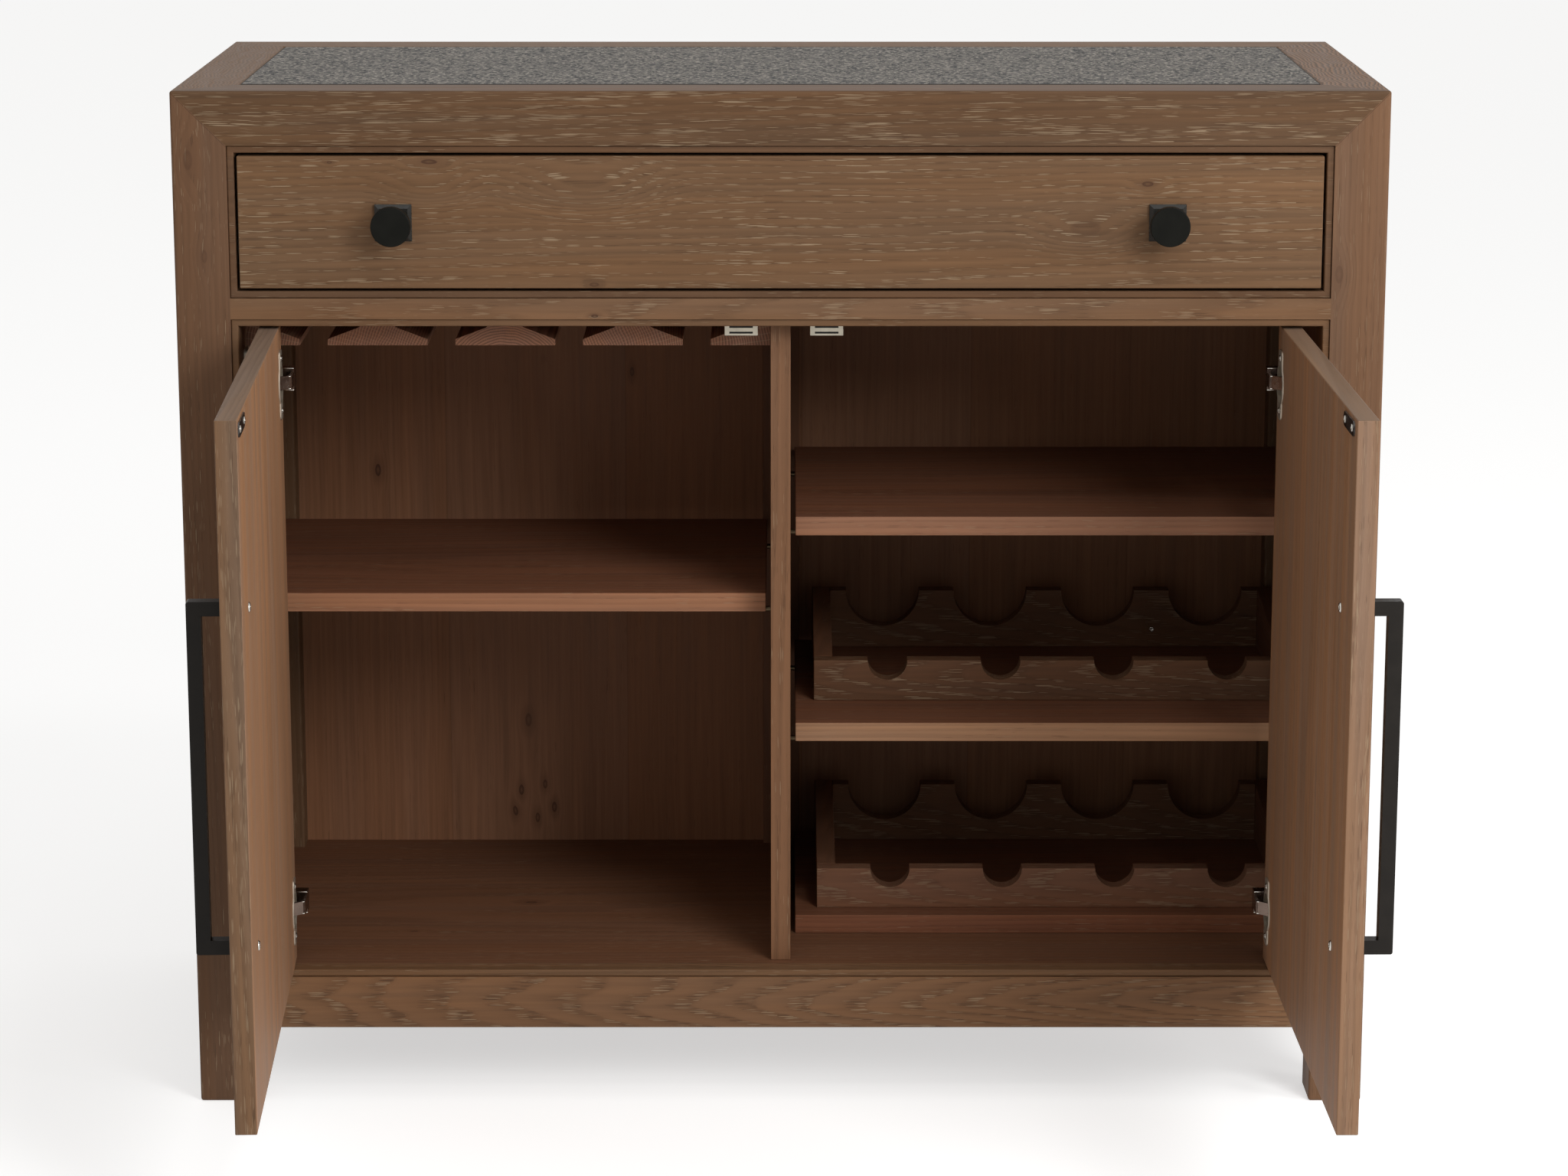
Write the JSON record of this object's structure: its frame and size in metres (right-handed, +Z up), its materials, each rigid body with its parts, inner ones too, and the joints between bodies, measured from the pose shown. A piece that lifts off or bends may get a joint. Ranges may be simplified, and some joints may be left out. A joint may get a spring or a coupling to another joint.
{
  "type": "bar cabinet",
  "caption": "Oak bar cabinet with an inset stone top, a drawer on slides, hinged doors, bottle racks and a rack for stemware.",
  "frame": {"origin": "floor level, in the middle of the cabinet's width, in the plane of the front face of the frame", "axes": "+X to the right along the width, +Y to the back, +Z up"},
  "size_m": [1.067, 0.8999, 0.9285],
  "materials": {
    "oak_frame": "brown stained oak with pale filled pores, satin lacquer",
    "oak_face": "brown stained oak veneer with pale filled pores, satin lacquer",
    "oak_inside": "brown stained oak, satin lacquer",
    "stone": "honed grey stone with fine dark flecks",
    "dark_bronze": "dark bronze, satin",
    "nickel": "bright nickel plate",
    "slide_steel": "zinc plated steel",
    "catch_nickel": "satin nickel"
  },
  "bodies": {
    "case": {"back_batten": "oak_inside", "back_lower_rail": "oak_frame", "back_panel": "oak_inside", "bottom_deck": "oak_inside", "bottom_rail": "oak_frame", "center_divider": "oak_inside", "door_catches": "catch_nickel", "door_opening_bead": "oak_frame", "drawer_dust_panel": "oak_inside", "drawer_opening_bead": "oak_frame", "front_left_post": "oak_frame", "front_right_post": "oak_frame", "hinge_arms": "nickel", "hinge_plates": "nickel", "left_shelf": "oak_inside", "lower_rack_front": "oak_inside", "lower_rack_rear": "oak_inside", "lower_rack_sides": "oak_inside", "lower_side_rails": "oak_frame", "middle_rail": "oak_frame", "rear_left_post": "oak_frame", "rear_right_post": "oak_frame", "right_low_board": "oak_inside", "right_middle_shelf": "oak_inside", "right_upper_shelf": "oak_inside", "shelf_pins": "nickel", "side_panels": "oak_face", "slab_support_panel": "oak_inside", "slide_blocks": "oak_inside", "slide_cabinet_members": "slide_steel", "stemware_runners": "oak_inside", "stone_slab": "stone", "top_front_rail": "oak_frame", "top_left_rail": "oak_frame", "top_rear_rail": "oak_frame", "top_right_rail": "oak_frame", "upper_rack_front": "oak_inside", "upper_rack_rear": "oak_inside", "upper_rack_sides": "oak_inside"},
    "left_leaf": {"left_door": "oak_face", "left_handle": "dark_bronze", "left_handle_screws": "nickel", "left_hinge_cups": "nickel", "left_strike_plate": "nickel", "left_door_screws": "nickel"},
    "right_leaf": {"right_door": "oak_face", "right_handle": "dark_bronze", "right_handle_screws": "nickel", "right_hinge_cups": "nickel", "right_strike_plate": "nickel", "right_door_screws": "nickel"},
    "drawer_box": {"drawer_front": "oak_face", "drawer_sides": "oak_inside", "drawer_back": "oak_inside", "drawer_bottom": "oak_inside", "knobs": "dark_bronze", "knob_plates": "dark_bronze", "knob_screws": "nickel", "slide_drawer_members": "slide_steel"},
    "slide_middles": {"slide_middle_members": "slide_steel"}
  },
  "joints": [
    {"name": "left_door_hinge", "type": "hinge", "parent": "case", "child": "left_leaf", "pos_m": [-0.4533, 0.009, 0.4231], "axis": [0, 0, -1], "range_deg": [-87.5, 12.5]},
    {"name": "right_door_hinge", "type": "hinge", "parent": "case", "child": "right_leaf", "pos_m": [0.4533, 0.009, 0.4231], "axis": [0, 0, 1], "range_deg": [-90.9, 9.1]},
    {"name": "drawer_slide", "type": "slide", "parent": "case", "child": "drawer_box", "axis": [0, -1, 0], "range_m": [0, 0.34]},
    {"name": "slide_middle_travel", "type": "slide", "parent": "case", "child": "slide_middles", "axis": [0, -1, 0], "range_m": [0, 0.17]}
  ],
  "couplings": [
    {"joint": "slide_middle_travel", "follows": "drawer_slide", "ratio": 0.5}
  ]
}
